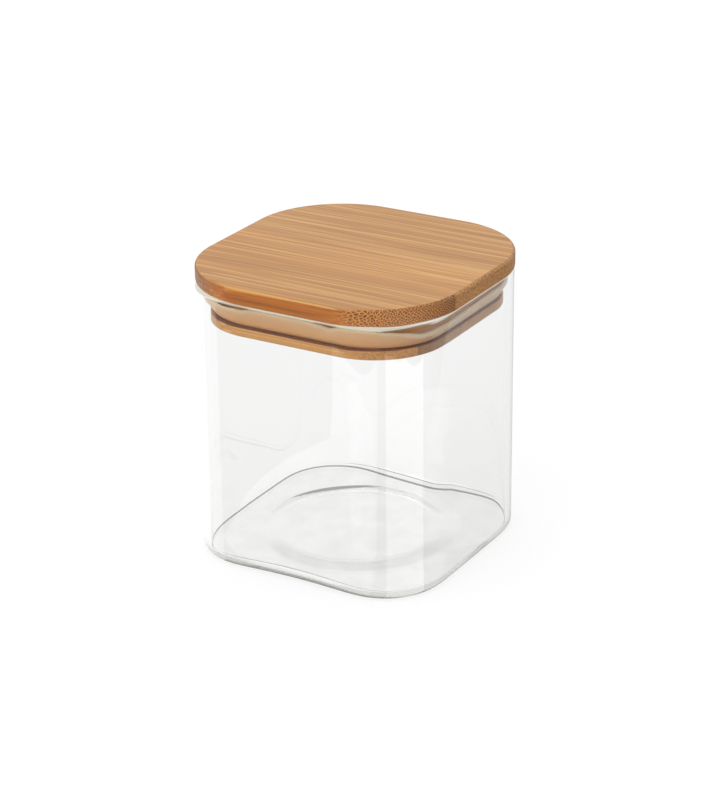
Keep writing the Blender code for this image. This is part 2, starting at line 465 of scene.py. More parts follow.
def painted_base_line(tree, place, normal, floor_mm, punt_mm):
    """How much of the painted dark line shows where the inside turns up from the floor."""
    x, y, z = split(tree, place)
    squares = calc(tree, "ADD", calc(tree, "MULTIPLY", x, x), calc(tree, "MULTIPLY", y, y))
    beyond = calc(tree, "GREATER_THAN", calc(tree, "SQRT", squares), punt_mm + BASE_LINE_PUNT_GAP)
    rise = calc(tree, "SUBTRACT", z, floor_mm)
    lifted = calc(tree, "MULTIPLY", ease(tree, rise, BASE_LINE_START),
                  ease(tree, rise, BASE_LINE_END, 1.0, 0.0))
    upward = calc(tree, "GREATER_THAN", normal[2], BASE_LINE_LEAST_TURN)
    return calc(tree, "MULTIPLY", calc(tree, "MULTIPLY", lifted, beyond), upward)


def painted_rim_glow(tree, place, normal, rim_mm):
    """How much painted glow shows at the rim, in a line that stops at the corners and is deeper at the
    ends.
    """
    sideways = calc(tree, "ABSOLUTE", normal[0])
    deeper = calc(tree, "SUBTRACT", ease(tree, sideways, RIM_END_TURN, 0.0, RIM_END_DEPTH),
                  ease(tree, sideways, RIM_CORNER_TURN, 0.0, RIM_DEPTH))
    depth = calc(tree, "ADD", calc(tree, "SUBTRACT", split(tree, place)[2], rim_mm - RIM_DEPTH), deeper)
    return ease(tree, depth, RIM_BLUR, 0.0, PAINTED_RIM_GLOW_SHARE)


def painted_punt_arc(tree, place, normal, punt_mm):
    """How much of the painted dark arc shows where the punt's slope turns away from the eye."""
    x, y = split(tree, place)[:2]
    towards = calc(tree, "ADD", calc(tree, "MULTIPLY", x, PUNT_ARC_TOWARDS[0]),
                   calc(tree, "MULTIPLY", y, PUNT_ARC_TOWARDS[1]))
    outward = calc(tree, "DIVIDE", towards, punt_mm)
    strength = ease(tree, outward, PUNT_ARC_REACH_SHARES, PUNT_ARC_LEAST_SHARE)
    facing = tree.nodes.new("ShaderNodeLayerWeight").outputs["Facing"]
    turned = calc(tree, "MULTIPLY", ease(tree, facing, PUNT_ARC_FACING, 0.0, PUNT_ARC_SHARE), strength)
    sloped = calc(tree, "MULTIPLY", ease(tree, normal[2], PUNT_SLOPE_TURN),
                  ease(tree, normal[2], PUNT_LEVEL_TURN, 1.0, 0.0))
    return calc(tree, "MULTIPLY", turned, sloped)


def glass_material(rim_mm, floor_mm, punt_mm):
    """Clear glass with the faint waves of a blown wall, with painted glows for light that it guides
    through its base to its rim, and painted shade in dark lines and an arc.
    """
    material, tree, shader = new_material("clear_glass")
    place = place_in_mm(tree)
    normal = normal_parts(tree)
    # Painted shade: a dark line where the inside turns up from the floor
    line = painted_base_line(tree, place, normal, floor_mm, punt_mm)
    colour = mix_colour(tree, line, glass_colour(tree, place, normal), PAINTED_BASE_SHADE)
    waves = noise(tree, place, GLASS_WAVE_SCALES, detail=1.0)
    put(tree, shader.inputs["Base Color"], colour)
    put(tree, shader.inputs["Normal"], bump(tree, waves, GLASS_WAVE_DEPTH))
    shader.inputs["Roughness"].default_value = 0.0
    shader.inputs["IOR"].default_value = GLASS_IOR
    shader.inputs["Transmission Weight"].default_value = 1.0

    # Painted glow where light has turned back inside the glass too often to follow
    turns = tree.nodes.new("ShaderNodeLightPath").outputs["Glossy Depth"]
    guided_glow = calc(tree, "GREATER_THAN", turns, FOLLOWED_TURNS)
    surface = mix_shaders(tree, guided_glow, shader.outputs[0], glow(tree, PAINTED_GUIDED_GLOW))
    # Painted glow in a line at the rim
    rim_glow = painted_rim_glow(tree, place, normal, rim_mm)
    surface = mix_shaders(tree, rim_glow, surface, glow(tree, PAINTED_RIM_GLOW))
    # Painted shade: a dark arc in the punt's slope
    arc = painted_punt_arc(tree, place, normal, punt_mm)
    show(tree, mix_shaders(tree, arc, surface, glow(tree, PAINTED_PUNT_SHADE)))
    return material


def swell(place):
    """How much the foot fillets swell here, from 0 to 1 in the middle of the front and back."""
    if abs(place.x) >= FOOT_SLACK_REACH:
        return 0.0
    return math.cos(place.x / FOOT_SLACK_REACH * math.pi / 2) ** 2


def fillet_rings(base, inset, height, fillet, slack):
    """Rings down a fillet, from the wall at that inset to the flat at that height."""
    rings = []
    for step in range(FILLET_STEPS + 1):
        angle = step / FILLET_STEPS * math.pi / 2
        ring = []
        for place, normal in base:
            radius = fillet + slack * swell(place)
            inward = inset + radius * (1 - math.cos(angle))
            lift = Vector((0, 0, height + radius * (1 - math.sin(angle))))
            ring.append(place - normal * inward + lift)
        rings.append(ring)
    return rings


def punt_rings(base, punt_radius, level):
    """Rings from the foot's flat in to the crown of the punt's low dome, on a surface at that level."""
    rings = []
    inner_radius = punt_radius - PUNT_SLOPE_WIDTH
    for step in range(PUNT_STEPS + 1):
        share = step / PUNT_STEPS
        rise = PUNT_RISE * (1 - math.cos(share * math.pi)) / 2
        rings.append(circle_ring(base, punt_radius - PUNT_SLOPE_WIDTH * share, level + rise))
    for step in range(1, DOME_STEPS):
        share = step / DOME_STEPS
        rise = PUNT_RISE + PUNT_DOME_RISE * math.sin(share * math.pi / 2) ** 2
        rings.append(circle_ring(base, inner_radius * (1 - share), level + rise))
    return rings


def rim_rings(base, height):
    """Rings over the fire-polished rim, from the outer wall to the inner one."""
    radius = WALL_THICKNESS / 2
    rings = []
    for step in range(RIM_STEPS + 1):
        angle = step / RIM_STEPS * math.pi
        inset = radius * (1 - math.cos(angle))
        rings.append(level_ring(base, inset, height - radius + radius * math.sin(angle)))
    return rings


def wall_rings(base, inset, low, high):
    """Rings up a wall, between but not at two heights."""
    span = high - low
    return [level_ring(base, inset, low + span * step / WALL_STEPS) for step in range(1, WALL_STEPS)]


def add_jar():
    """The jar: one wall with a rounded rim, swelling foot fillets and a shallow punt."""
    low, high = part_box("glass_body")
    side = high.x - low.x
    base = eased_stations(side, JAR_CORNER_RADIUS, JAR_CORNER_EASE)
    punt_radius = side / 2 - FOOT_WIDTH
    floor_level = low.z + FLOOR_THICKNESS
    outer_level = low.z + OUTER_FOOT_FILLET + OUTER_FOOT_SLACK
    inner_level = floor_level + INNER_FOOT_FILLET + INNER_FOOT_SLACK
    rim_level = high.z - WALL_THICKNESS / 2
    rings = punt_rings(base, punt_radius, low.z)[::-1]
    rings += fillet_rings(base, 0, low.z, OUTER_FOOT_FILLET, OUTER_FOOT_SLACK)[::-1]
    rings += wall_rings(base, 0, outer_level, rim_level)
    rings += rim_rings(base, high.z)
    rings += wall_rings(base, WALL_THICKNESS, inner_level, rim_level)[::-1]
    rings += fillet_rings(base, WALL_THICKNESS, floor_level, INNER_FOOT_FILLET, INNER_FOOT_SLACK)
    rings += punt_rings(base, punt_radius, floor_level)
    glass = glass_material(high.z / MM, floor_level / MM, punt_radius / MM)
    add_piece(loft(rings, closed=False), "glass_body", glass)


# Seal

SILICONE_COLOUR = (0.94, 0.42, 0.135, 1.0)
SILICONE_PALE = (0.97, 0.51, 0.200, 1.0)
SILICONE_CLOUD_SCALES = (0.15, 0.15, 0.6)
# Painted light: the seal is paler on the faces that turn towards +X and -X
PAINTED_SILICONE_SIDE_LIGHT = (0.95, 0.62, 0.38, 1.0)
SILICONE_SIDE_LIGHT_TURN = (0.70, 0.90)
SILICONE_GRAIN_SCALES = (6, 6, 6)
SILICONE_GRAIN_SPAN = (0.2, 0.8)
SILICONE_GRAIN_DEPTH = 0.00002
SILICONE_ROUGHNESS = (0.32, 0.46)
SILICONE_IOR = 1.41
SUBSURFACE_SHARE = 0.4
SUBSURFACE_RADIUS = (1.0, 0.7, 0.45)
SUBSURFACE_SCALE = 0.0012
# Painted highlight: the seal is paler towards its lip
PAINTED_LIP_HIGHLIGHT = (0.98, 0.76, 0.52, 1.0)
LIP_HIGHLIGHT_LAYER = "towards_lip_highlight"

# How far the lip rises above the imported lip, in millimetres, at shares of the way around the mouth
LIP_LIFTS = [(0.00, -1.9), (0.06, -0.7), (0.12, 0.3), (0.20, 0.2), (0.26, -0.8), (0.31, 0.3), (0.40, 0.4),
             (0.47, -0.7), (0.53, 0.2), (0.585, 0.5), (0.60, 0.3), (0.618, -0.65), (0.64, -0.6),
             (0.655, 0.3), (0.72, 0.35), (0.735, -0.1), (0.75, -0.65), (0.762, 0.4), (0.793, 0.6),
             (0.815, -0.1), (0.83, -0.8), (0.855, -2.3), (0.90, -2.55), (0.94, -2.4), (1.00, -1.9)]


def silicone_material():
    """Milky silicone, a little uneven in tone, with the bloom of a moulded part, painted light on its
    faces towards +X and -X, and a painted highlight that makes its lip paler.
    """
    material, tree, shader = new_material("milky_silicone")
    place = place_in_mm(tree)
    cloud = noise(tree, place, SILICONE_CLOUD_SCALES, detail=3.0)
    # Painted light on the faces that turn towards +X and -X
    endwise = ease(tree, calc(tree, "ABSOLUTE", normal_parts(tree)[0]), SILICONE_SIDE_LIGHT_TURN)
    colour = mix_colour(tree, cloud, SILICONE_COLOUR, SILICONE_PALE)
    colour = mix_colour(tree, endwise, colour, PAINTED_SILICONE_SIDE_LIGHT)
    # Painted highlight, paler towards the lip
    lip = tree.nodes.new("ShaderNodeAttribute")
    lip.attribute_name = LIP_HIGHLIGHT_LAYER
    put(tree, shader.inputs["Base Color"], mix_colour(tree, lip.outputs["Fac"], colour, PAINTED_LIP_HIGHLIGHT))
    grain = noise(tree, place, SILICONE_GRAIN_SCALES, detail=2.0)
    put(tree, shader.inputs["Roughness"], ease(tree, grain, SILICONE_GRAIN_SPAN, *SILICONE_ROUGHNESS))
    put(tree, shader.inputs["Normal"], bump(tree, grain, SILICONE_GRAIN_DEPTH))
    shader.inputs["IOR"].default_value = SILICONE_IOR
    shader.inputs["Subsurface Weight"].default_value = SUBSURFACE_SHARE
    shader.inputs["Subsurface Radius"].default_value = SUBSURFACE_RADIUS
    shader.inputs["Subsurface Scale"].default_value = SUBSURFACE_SCALE
    return material


def lip_lift(share):
    """Lift of the lip at that share of the way around, in metres, smooth between the listed places."""
    for (start, first), (end, last) in zip(LIP_LIFTS, LIP_LIFTS[1:]):
        if share <= end:
            turn = (1 - math.cos((share - start) / (end - start) * math.pi)) / 2
            return (first + (last - first) * turn) * MM
    return LIP_LIFTS[-1][1] * MM


def lip_lifts(base):
    """Lift of the lip at every station."""
    places = [place for place, normal in base]
    steps = [(after - place).length for place, after in zip(places, places[1:] + places[:1])]
    total = sum(steps)
    return [lip_lift(sum(steps[:index]) / total) for index in range(len(places))]


def wavy_ring(base, inset, height, lifts):
    """Level ring that is lifted by its own amount at every station."""
    return [point + Vector((0, 0, lift)) for point, lift in zip(level_ring(base, inset, height), lifts)]


def add_seal():
    """The seal: a band round the neck, with a skirt that flares up to a lip at the glass."""
    low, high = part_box("silicone_seal")
    jar_low, jar_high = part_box("glass_body")
    plug_low, plug_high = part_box("plug_stave_4")
    jar = eased_stations(jar_high.x - jar_low.x, JAR_CORNER_RADIUS, JAR_CORNER_EASE)
    mouth = [(place - normal * WALL_THICKNESS, normal) for place, normal in jar]
    neck_side = plug_high.x - plug_low.x - 2 * GROOVE_DEPTH
    neck = stations(neck_side, PLUG_CORNER_RADIUS - GROOVE_DEPTH)
    flange_top = plug_low.z + FLANGE_HEIGHT
    inside = -SEAL_GAP
    outside = inside - BAND_THICKNESS
    lip_radius = LIP_THICKNESS / 2
    lifts = lip_lifts(mouth)
    drops = [-SKIRT_END_DROP * abs(normal.x) ** 3 for place, normal in neck]
    root = flange_top + SKIRT_ROOT_RISE

    # Each ring with its share of the lip's painted highlight, round the section from the top of the band
    rings = [
        (0.0, level_ring(neck, inside, low.z + BAND_HEIGHT)),
        (0.0, wavy_ring(neck, inside, root, drops)),
        (0.0, wavy_ring(neck, outside, root, drops)),
        (0.0, wavy_ring(neck, outside - SKIRT_ROOT_STEP, root + SKIRT_ROOT_STEP, drops)),
        (0.1, wavy_ring(neck, outside - LIP_THICKNESS, flange_top + SKIRT_BULGE_RISE, drops)),
        (0.4, wavy_ring(mouth, SEAL_GAP, high.z - lip_radius - LIP_LAND_HEIGHT, lifts)),
        (1.0, wavy_ring(mouth, SEAL_GAP, high.z - lip_radius, lifts)),
        (1.0, wavy_ring(mouth, SEAL_GAP + lip_radius, high.z, lifts)),
        (1.0, wavy_ring(mouth, SEAL_GAP + LIP_THICKNESS, high.z - lip_radius, lifts)),
        (0.0, level_ring(neck, outside, flange_top + SKIRT_CROTCH_RISE)),
    ]
    bm = loft([ring for share, ring in rings], closed=True)
    layer = bm.verts.layers.float.new(LIP_HIGHLIGHT_LAYER)
    for index, vert in enumerate(bm.verts):
        vert[layer] = rings[index // len(neck)][0]
    add_piece(bm, "silicone_seal", silicone_material())


# Bamboo

PLATE_STAVES = [f"plate_stave_{number}" for number in range(1, 6)]
PLUG_STAVES = [f"plug_stave_{number}" for number in range(1, 8)]

# How light each stave is, from the front
PLATE_TONES = (0.99, 0.99, 1.03, 0.98, 0.96)
PLUG_TONES = (1.62, 0.95, 1.25, 1.38, 1.40, 1.42, 1.40)

# Staves from the outside of the culm, and those of them that are one strip
NETTED_STAVES = ("plate_stave_1", "plate_stave_2", "plate_stave_5")
FRONT_STRIP = ("plate_stave_1", "plate_stave_2")

BAMBOO_ROUGHNESS = 0.40
BUNDLE_ROUGHNESS = 0.12
RELIEF_DEPTH = 0.00003
RELIEF_STRENGTH = 0.6
BUNDLE_RELIEF_SHARE = 0.5
FINE_RELIEF_SHARE = 0.4
FINE_SCALES = (0.02, 1.0, 1.0)

# How far the grain wanders sideways
DRIFT_MM = 1.6
DRIFT_SCALES = (0.022, 0.12, 0.12)

# Grain along the surface: lines of dark fibre and pale lines on bands of honey and amber
HONEY = (0.515, 0.236, 0.050)
AMBER = (0.430, 0.182, 0.032)
BAND_SCALES = (0.009, 0.70, 0.70)
BAND_SPAN = (0.35, 0.65)
FIBRE = (0.300, 0.112, 0.022)
FIBRE_SCALES = (0.012, 0.95, 0.95)
FIBRE_SPAN = (0.53, 0.60)
FIBRE_SHARE = 0.42
PALE_LINE = (0.700, 0.400, 0.130)
PALE_LINE_SCALES = (0.012, 0.90, 0.90)
PALE_LINE_SHIFT = (0, 137, 0)
PALE_LINE_SPAN = (0.54, 0.61)
PALE_LINE_SHARE = 0.50

# Edge of the plate, browner with painted shade; level faces of the flange, with painted shade; and neck,
# with painted light
UPRIGHT_TURN = (0.25, 0.75)
PAINTED_EDGE_SHADE = (0.86, 0.58, 0.22, 1.0)
EDGE_LINE_COLOUR = (0.230, 0.075, 0.012, 1.0)
EDGE_LINE_SCALES = (0.035, 0.35, 1.5)
EDGE_LINE_SPAN = (0.48, 0.66)
EDGE_LINE_SHARE = 0.75
PAINTED_FLANGE_SHADE = (0.40, 0.28, 0.20, 1.0)
PAINTED_NECK_LIGHT = (0.97, 0.52, 0.15, 1.0)

# Fibre bundles, whose lattice is narrow at the start of the stave and wider towards its end
BUNDLE_COLOUR = (0.110, 0.036, 0.010, 1.0)
BUNDLE_PITCH = 0.50
BUNDLE_SLIMNESS = 0.6
BUNDLE_DISORDER = 0.7
BUNDLE_CROWDING = 0.88
BUNDLE_THINNING = 0.22
BUNDLE_RADIUS = 0.28
BUNDLE_RADIUS_GAIN = 0.10
BUNDLE_BLUR_SHARES = (0.60, 1.15)
NET_COLOUR = (0.700, 0.300, 0.065, 1.0)
NET_BLUR = (0.03, 0.15)
NET_SHARE = 0.85

# Bundles that show along the upright faces, in patches
PATCH_SCALES = (0.03, 0.6, 0.6)
PATCH_SPAN = (0.35, 0.65)
PATCH_SHARES = (0.10, 0.45)

# Grain cut across, on the faces that turn to the right end or well to the left end
RIGHT_END_TURN = (0.06, 0.40)
LEFT_END_TURN = (-0.60, -0.30)
PLAIN_END = (0.480, 0.215, 0.055)
PLATE_SPECK_TONE = 0.50
PLUG_SPECK_TONE = 0.72
SPECK_SCALES = (1.5, 1.5, 1.2)
SPECK_SPAN = (0.44, 0.62)

# Netted end grain, which darkens and loses its net towards the end of the stave
NETTED_END = (0.330, 0.110, 0.018)
NETTED_SPECK_TONE = 0.36
NETTED_SPECK_GAIN = 0.8
NETTED_BUNDLE_SHARE = 0.40
NETTED_BUNDLE_GAIN = 0.60
NET_FADING = 0.30
NET_REACH = (-10, 10)
NET_FAR_SHARE = 0.15

# Places across the plate, in millimetres, and how light the grain is there
STREAKS = [(-50, 0.96), (-41.5, 0.93), (-39, 1.04), (-36, 1.04), (-30, 0.99), (-24, 0.98), (-19.5, 0.91),
           (-17.8, 1.06), (-12, 1.05), (-7.5, 0.96), (0, 1.05), (3, 1.06), (7, 0.95), (11, 1.02),
           (13, 0.95), (18, 0.99), (23, 0.93), (24.5, 1.04), (26.3, 0.91), (29, 0.99), (32, 0.93),
           (35, 1.0), (37.5, 0.93), (40, 1.0), (42.5, 0.92), (50, 0.97)]
STREAK_DARKEST = 0.8
STREAK_RANGE = 0.35
STREAK_BASE = 0.89
STREAK_GAIN = 0.17


def shaded(colour, tone):
    """Colour made lighter or darker by a tone."""
    return tuple(part * tone for part in colour) + (1.0,)


def streak_factor(tree, across):
    """How light the streak at that place across the plate is."""
    first = STREAKS[0][0]
    width = STREAKS[-1][0] - first
    stops = []
    for place, light in STREAKS:
        grey = (light - STREAK_DARKEST) / STREAK_RANGE
        stops.append(((place - first) / width, (grey, grey, grey, 1.0)))
    light = ramp(tree, calc(tree, "DIVIDE", calc(tree, "SUBTRACT", across, first), width), stops)
    return calc(tree, "ADD", STREAK_BASE, calc(tree, "MULTIPLY", STREAK_GAIN, light))


def cell_distance(tree, lattice, feature):
    """Distance on a lattice to a cell's point or to its edge."""
    node = tree.nodes.new("ShaderNodeTexVoronoi")
    node.voronoi_dimensions = "2D"
    node.feature = feature
    node.inputs["Scale"].default_value = 1.0
    node.inputs["Randomness"].default_value = BUNDLE_DISORDER
    put(tree, node.inputs["Vector"], lattice)
    return node.outputs["Distance"]


def fibre_bundles(tree, z, drift, inward, width_mm):
    """Dark bundles on a staggered lattice, taller than wide, and the pale net between them."""
    squared = calc(tree, "MULTIPLY", inward, inward)
    packed = calc(tree, "SUBTRACT", calc(tree, "MULTIPLY", inward, BUNDLE_CROWDING * width_mm),
                  calc(tree, "MULTIPLY", squared, BUNDLE_THINNING * width_mm))
    across = calc(tree, "ADD", packed, drift)
    upward = calc(tree, "MULTIPLY", calc(tree, "ADD", z, drift), BUNDLE_SLIMNESS)
    diagonal = 1 / (BUNDLE_PITCH * math.sqrt(2))
    rising = calc(tree, "MULTIPLY", calc(tree, "ADD", across, upward), diagonal)
    falling = calc(tree, "MULTIPLY", calc(tree, "SUBTRACT", across, upward), diagonal)
    lattice = combine(tree, rising, falling, 0.0)
    radius = calc(tree, "ADD", BUNDLE_RADIUS, calc(tree, "MULTIPLY", inward, BUNDLE_RADIUS_GAIN))
    outward = calc(tree, "DIVIDE", cell_distance(tree, lattice, "F1"), radius)
    bundle = ease(tree, outward, BUNDLE_BLUR_SHARES, 1.0, 0.0)
    net = ease(tree, cell_distance(tree, lattice, "DISTANCE_TO_EDGE"), NET_BLUR, NET_SHARE, 0.0)
    return bundle, net


def long_grain(tree, place, tone):
    """Grain along the surface: fine long lines, darker and paler, on broad bands."""
    bands = noise(tree, place, BAND_SCALES, detail=2.0, roughness=0.70)
    fibres = noise(tree, place, FIBRE_SCALES, detail=1.0)
    aside = calc_vector(tree, "ADD", place, PALE_LINE_SHIFT)
    pale_lines = noise(tree, aside, PALE_LINE_SCALES, detail=1.0)
    dark = ease(tree, fibres, FIBRE_SPAN, 0.0, FIBRE_SHARE)
    pale = ease(tree, pale_lines, PALE_LINE_SPAN, 0.0, PALE_LINE_SHARE)
    colour = mix_colour(tree, ease(tree, bands, BAND_SPAN), shaded(HONEY, tone), shaded(AMBER, tone))
    colour = mix_colour(tree, dark, colour, shaded(FIBRE, tone))
    return mix_colour(tree, pale, colour, shaded(PALE_LINE, tone))


def plate_grain(tree, place, drift, upright, grain):
    """The plate's grain: streaked on its top, and on its edge browner with painted shade and with dark
    lines.
    """
    across = calc(tree, "ADD", split(tree, place)[1], drift)
    top = mix_colour(tree, 1.0, grain, streak_factor(tree, across), blend="MULTIPLY")
    lines = noise(tree, place, EDGE_LINE_SCALES, detail=3.0, roughness=0.65)
    lined = ease(tree, lines, EDGE_LINE_SPAN, 0.0, EDGE_LINE_SHARE)
    # Painted shade: the plate's edge is browner than its top
    edge = mix_colour(tree, 1.0, top, PAINTED_EDGE_SHADE, blend="MULTIPLY")
    edge = mix_colour(tree, lined, edge, EDGE_LINE_COLOUR)
    return mix_colour(tree, upright, top, edge)


def plug_grain(tree, upright, grain):
    """The plug's grain, with painted shade that darkens the level faces of its flange, where the seal and
    the plate shade it.
    """
    # Painted shade on the level faces of the flange
    level = calc(tree, "SUBTRACT", 1.0, upright)
    return mix_colour(tree, level, grain, mix_colour(tree, 1.0, grain, PAINTED_FLANGE_SHADE, blend="MULTIPLY"))


def specks(tree, place):
    """Fine specks in grain that is cut across."""
    return ease(tree, noise(tree, place, SPECK_SCALES, detail=1.0), SPECK_SPAN)


def plain_end(tree, place, tone, speck_tone):
    """Grain cut across that shows as fine specks."""
    darker = shaded(PLAIN_END, tone * speck_tone)
    return mix_colour(tree, specks(tree, place), shaded(PLAIN_END, tone), darker)


def netted_end(tree, place, tone, inward, bundle, net):
    """Grain cut across near the culm's skin: a pale net round dark bundles, clearest to the right."""
    squared = calc(tree, "MULTIPLY", inward, inward)
    worn = calc(tree, "MAXIMUM", specks(tree, place), calc(tree, "MULTIPLY", squared, NETTED_SPECK_GAIN))
    colour = mix_colour(tree, worn, shaded(NETTED_END, tone), shaded(NETTED_END, tone * NETTED_SPECK_TONE))
    darkness = calc(tree, "ADD", NETTED_BUNDLE_SHARE, calc(tree, "MULTIPLY", squared, NETTED_BUNDLE_GAIN))
    colour = mix_colour(tree, calc(tree, "MULTIPLY", bundle, darkness), colour, BUNDLE_COLOUR)
    near = ease(tree, split(tree, place)[0], NET_REACH, NET_FAR_SHARE)
    clear = calc(tree, "SUBTRACT", near, calc(tree, "MULTIPLY", squared, NET_FADING))
    return mix_colour(tree, calc(tree, "MULTIPLY", net, clear), colour, NET_COLOUR)


def bamboo_material(name, start, end, tone, netted, neck_mm):
    """Bamboo cut from a culm, with bundles of fibre that run along X, finer and denser at the start.

    The start and end are the edges across the culm of the strip that the stave is in. The plug's
    neck begins at neck_mm, which is None for a stave of the plate.
    """
    material, tree, shader = new_material(name)
    place = place_in_mm(tree)
    y, z = split(tree, place)[1:]
    normal = normal_parts(tree)
    width_mm = (end - start) / MM
    inward = calc(tree, "DIVIDE", calc(tree, "SUBTRACT", y, start / MM), width_mm, clamp=True)
    wander = calc(tree, "SUBTRACT", noise(tree, place, DRIFT_SCALES, detail=1.0), 0.5)
    drift = calc(tree, "MULTIPLY", wander, DRIFT_MM)
    bundle, net = fibre_bundles(tree, z, drift, inward, width_mm)
    upright = ease(tree, calc(tree, "ABSOLUTE", normal[2]), UPRIGHT_TURN, 1.0, 0.0)
    upright_bundle = calc(tree, "MULTIPLY", bundle, upright)

    patches = ease(tree, noise(tree, place, PATCH_SCALES, detail=2.0), PATCH_SPAN, *PATCH_SHARES)
    marks = calc(tree, "MULTIPLY", calc(tree, "MULTIPLY", upright_bundle, inward), patches)
    grain = mix_colour(tree, marks, long_grain(tree, place, tone), BUNDLE_COLOUR)
    if neck_mm is None:
        grain = plate_grain(tree, place, drift, upright, grain)
    else:
        grain = plug_grain(tree, upright, grain)

    if netted:
        end_grain = netted_end(tree, place, tone, inward, bundle, net)
    else:
        end_grain = plain_end(tree, place, tone, PLATE_SPECK_TONE if neck_mm is None else PLUG_SPECK_TONE)
    endwise = calc(tree, "MAXIMUM", ease(tree, normal[0], RIGHT_END_TURN),
                   ease(tree, normal[0], LEFT_END_TURN, 1.0, 0.0))
    colour = mix_colour(tree, endwise, grain, end_grain)
    # Painted light on the plug's neck, which the plate and the seal shade
    if neck_mm is not None:
        colour = mix_colour(tree, calc(tree, "GREATER_THAN", z, neck_mm), colour, PAINTED_NECK_LIGHT)

    rougher = calc(tree, "MULTIPLY", upright_bundle, BUNDLE_ROUGHNESS)
    fine = noise(tree, place, FINE_SCALES, detail=1.0)
    relief = calc(tree, "SUBTRACT", calc(tree, "MULTIPLY", fine, FINE_RELIEF_SHARE),
                  calc(tree, "MULTIPLY", upright_bundle, BUNDLE_RELIEF_SHARE))
    put(tree, shader.inputs["Base Color"], colour)
    put(tree, shader.inputs["Roughness"], calc(tree, "ADD", BAMBOO_ROUGHNESS, rougher))
    put(tree, shader.inputs["Normal"], bump(tree, relief, RELIEF_DEPTH, RELIEF_STRENGTH))
    return material


def board_rings(base, low, high, edge_radius):
    """Rings up a board with rounded edges, from its underside to its top."""
    lower = []
    upper = []
    for step in range(EDGE_STEPS + 1):
        angle = step / EDGE_STEPS * math.pi / 2
        inset = edge_radius * (1 - math.sin(angle))
        depth = edge_radius * (1 - math.cos(angle))
        lower.append(level_ring(base, inset, low + depth))
        upper.append(level_ring(base, inset, high - depth))
    return lower + upper[::-1]


def cut_square(bm, y, keep_above):
    """Cuts a closed mesh by a plane square to Y, keeps one side and closes the cut."""
    cut = bmesh.ops.bisect_plane(
        bm, geom=bm.verts[:] + bm.edges[:] + bm.faces[:], dist=CUT_TOLERANCE, plane_co=(0, y, 0),
        plane_no=(0, 1, 0), clear_inner=keep_above, clear_outer=not keep_above)
    edges = [item for item in cut["geom_cut"] if isinstance(item, bmesh.types.BMEdge)]
    bmesh.ops.contextual_create(bm, geom=edges)
    bmesh.ops.recalc_face_normals(bm, faces=bm.faces)


def add_staves(nodes, rings, tones, neck_mm=None):
    """Cuts a board into the staves of its nodes, glued at hairline seams."""
    boxes = [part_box(node) for node in nodes]
    joints = [(before[1].y + after[0].y) / 2 for before, after in zip(boxes, boxes[1:])]
    edges = [boxes[0][0].y, *joints, boxes[-1][1].y]
    spans = dict(zip(nodes, zip(edges, edges[1:])))
    for node, tone in zip(nodes, tones):
        bm = loft(rings, closed=False)
        start, end = spans[node]
        if node != nodes[0]:
            cut_square(bm, start + GLUE_SEAM / 2, keep_above=True)
        if node != nodes[-1]:
            cut_square(bm, end - GLUE_SEAM / 2, keep_above=False)
        if node in FRONT_STRIP:
            start = spans[FRONT_STRIP[0]][0]
            end = spans[FRONT_STRIP[-1]][1]
        bamboo = bamboo_material(f"bamboo_{node}", start, end, tone, node in NETTED_STAVES, neck_mm)
        add_piece(bm, node, bamboo)


def add_plate():
    """The lid's plate, whose two front staves come from one strip of the culm's outside."""
    low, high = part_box("plate_stave_3")
    base = stations(high.x - low.x, PLATE_CORNER_RADIUS)
    rings = board_rings(base, low.z, high.z, PLATE_EDGE_RADIUS)
    add_staves(PLATE_STAVES, rings, PLATE_TONES)


def add_plug():
    """The plug: a flange and above it the neck, which is the floor of the seal's groove."""
    low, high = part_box("plug_stave_4")
    base = stations(high.x - low.x, PLUG_CORNER_RADIUS)
    flange_top = low.z + FLANGE_HEIGHT
    rings = board_rings(base, low.z, flange_top, FLANGE_EDGE_RADIUS)
    rings += [level_ring(base, GROOVE_DEPTH, flange_top), level_ring(base, GROOVE_DEPTH, high.z)]
    add_staves(PLUG_STAVES, rings, PLUG_TONES, (flange_top + SKIRT_ROOT_RISE) / MM)


# Stage

WHITE = (1.0, 1.0, 1.0, 1.0)
FLOOR_REACH = 6.0
FLOOR_DROP = 0.0004
FLOOR_COLOUR = (0.85, 0.85, 0.85, 1.0)
FLOOR_GLOW_SHARE = 0.80
FLOOR_GLOW_STRENGTH = 1.05

# Dome of light, brighter overhead and dimmer to the right, with a dark ceiling that shows through glass
DOME_BASE = 0.72
DOME_RISE = 0.42
DOME_FALL = 0.22
CEILING_DARKNESS = 0.94
CEILING_REACH = (0.45, 0.62)

# Lamps: strength, and angle, azimuth and elevation in degrees
KEY = (0.45, 50, -20, 52)
FILL = (0.80, 40, -10, 12)

# Turns of light that are followed through the glass
LIGHT_TURNS = 16

# Cards round the jar that only its glossy surfaces see: the strength of each and its corners in
# millimetres. They end where the glass in front of the lid would show them, and lie on each other
# in this order.
CARD_HEIGHT = -0.0002
CARD_STEP = 0.000025
FAR_CARD = (0.03, [(-600, -600), (600, -600), (600, 600), (-600, 600)])
GREY_CARD = (0.20, [(-252, -252), (121, -252), (175, -199), (175, 400), (-400, 400), (-400, -100)])
SIDE_CARD = (0.45, [(60, 0), (49, -26), (175, 6), (175, 400), (-200, 400)])
FRONT_CARD = (1.4, [(-51.8, -91.8), (-56.4, -117.8), (-57.1, -139.1), (-54.7, -151.7), (-52.7, -164.2),
                    (-61.3, -182.6), (-76.3, -210.8), (-101.0, -252.0),
                    (118.4, -252.0), (30.5, -47.0), (-48.0, -60.0)])
LEFT_CARD = (1.2, [(-28.6, -47.0), (-330.0, -243.0), (-400.0, 0.0), (-300.0, 410.0), (-60.0, 10.0)])
